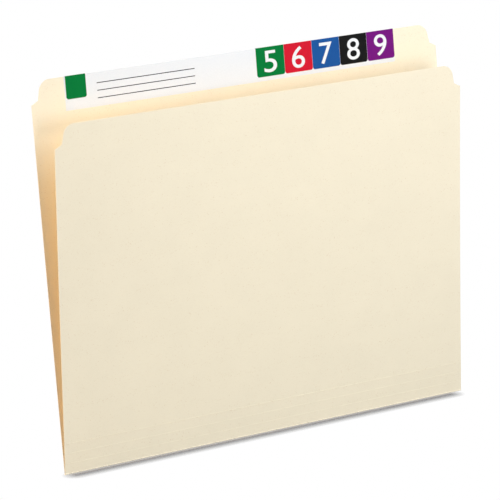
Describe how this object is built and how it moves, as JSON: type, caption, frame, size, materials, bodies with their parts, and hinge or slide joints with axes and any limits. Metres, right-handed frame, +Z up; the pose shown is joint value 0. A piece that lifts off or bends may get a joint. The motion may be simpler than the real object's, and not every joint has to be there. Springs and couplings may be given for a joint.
{
  "type": "manila folder",
  "caption": "Letter-size straight-cut manila folder that opens on its bottom fold, with scored expansion strips at its foot and a colour-coded label over the tab.",
  "frame": {"origin": "middle of the bottom fold, on the surface that the fold stands on", "axes": "+X along the fold to the right seen from the front, +Y towards the back leaf, +Z up"},
  "size_m": [0.2984, 0.0271, 0.2417],
  "materials": {
    "manila_card": "uncoated buff tag card, matt",
    "white_label_paper": "thin matt paper label",
    "green_sticker_paper": "thin matt paper label",
    "red_sticker_paper": "thin matt paper label",
    "blue_sticker_paper": "thin matt paper label",
    "black_sticker_paper": "thin matt paper label",
    "purple_sticker_paper": "thin matt paper label"
  },
  "bodies": {
    "fold": {"bottom_crease": "manila_card"},
    "back": {"back_leaf": "manila_card", "label_strip": "white_label_paper", "marker_sticker": "green_sticker_paper", "number_sticker_1": "green_sticker_paper", "number_sticker_2": "red_sticker_paper", "number_sticker_3": "blue_sticker_paper", "number_sticker_4": "black_sticker_paper", "number_sticker_5": "purple_sticker_paper"},
    "gusset": {"expansion_strip_1": "manila_card", "score_crease_1": "manila_card", "expansion_strip_2": "manila_card", "score_crease_2": "manila_card", "expansion_strip_3": "manila_card"},
    "front": {"front_leaf": "manila_card", "score_crease_3": "manila_card"}
  },
  "joints": [
    {"name": "open", "type": "hinge", "parent": "fold", "child": "back", "pos_m": [0, 0, 0.00055], "axis": [-1, 0, 0], "range_deg": [-6.6, 173.4]},
    {"name": "expand", "type": "hinge", "parent": "fold", "child": "gusset", "pos_m": [0, 0, 0.00055], "axis": [1, 0, 0], "range_deg": [0, 90]},
    {"name": "expand_return", "type": "hinge", "parent": "gusset", "child": "front", "pos_m": [0, -0.0015, 0.01954], "axis": [1, 0, 0], "range_deg": [-90, 0]}
  ],
  "couplings": [
    {"joint": "expand_return", "follows": "expand", "ratio": -1}
  ]
}
